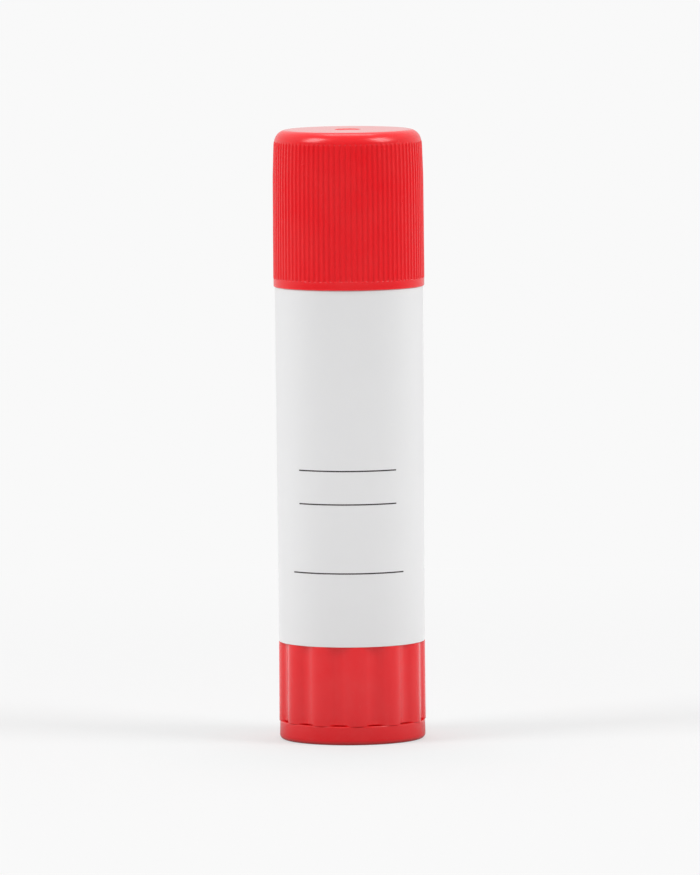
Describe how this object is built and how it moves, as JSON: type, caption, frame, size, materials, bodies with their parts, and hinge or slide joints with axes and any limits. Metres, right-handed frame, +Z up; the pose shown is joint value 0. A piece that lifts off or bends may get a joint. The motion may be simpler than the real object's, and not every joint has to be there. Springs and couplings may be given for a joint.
{
  "type": "glue stick",
  "caption": "Round twist-up glue stick: ribbed pull-off cap, tapered barrel with a neck, lobed base knob that turns a screw and raises the glue in its keyed cup.",
  "frame": {"origin": "centre of the knob's foot rim, on the surface that the stick stands on", "axes": "+Z up along the stick's axis, from the knob to the cap; -Y is the side that the picture shows, with +X to the right"},
  "size_m": [0.026, 0.026, 0.105],
  "materials": {
    "knob_plastic": "smooth moulded polypropylene, red",
    "spindle_plastic": "satin moulded polypropylene, natural white",
    "barrel_plastic": "satin moulded polypropylene, white, with three thin printed rules",
    "cup_plastic": "satin moulded polypropylene, natural white",
    "glue": "firm waxy adhesive, off-white",
    "cap_plastic": "smooth moulded polypropylene, red"
  },
  "bodies": {
    "barrel": {"barrel": "barrel_plastic"},
    "twist_knob": {"knob": "knob_plastic", "spindle": "spindle_plastic"},
    "carrier": {"glue_cup": "cup_plastic", "glue_column": "glue"},
    "cap": {"cap": "cap_plastic"}
  },
  "joints": [
    {"name": "knob_turn", "type": "hinge", "parent": "barrel", "child": "twist_knob", "pos_m": [0, 0, 0], "axis": [0, 0, 1], "range_deg": [0, 3744]},
    {"name": "glue_rise", "type": "slide", "parent": "barrel", "child": "carrier", "axis": [0, 0, 1], "range_m": [0, 0.052]},
    {"name": "cap_lift", "type": "slide", "parent": "carrier", "child": "cap", "axis": [0, 0, 1], "range_m": [0, 0.04]}
  ],
  "couplings": [
    {"joint": "knob_turn", "follows": "glue_rise", "rad_per_m": 1256.6}
  ]
}
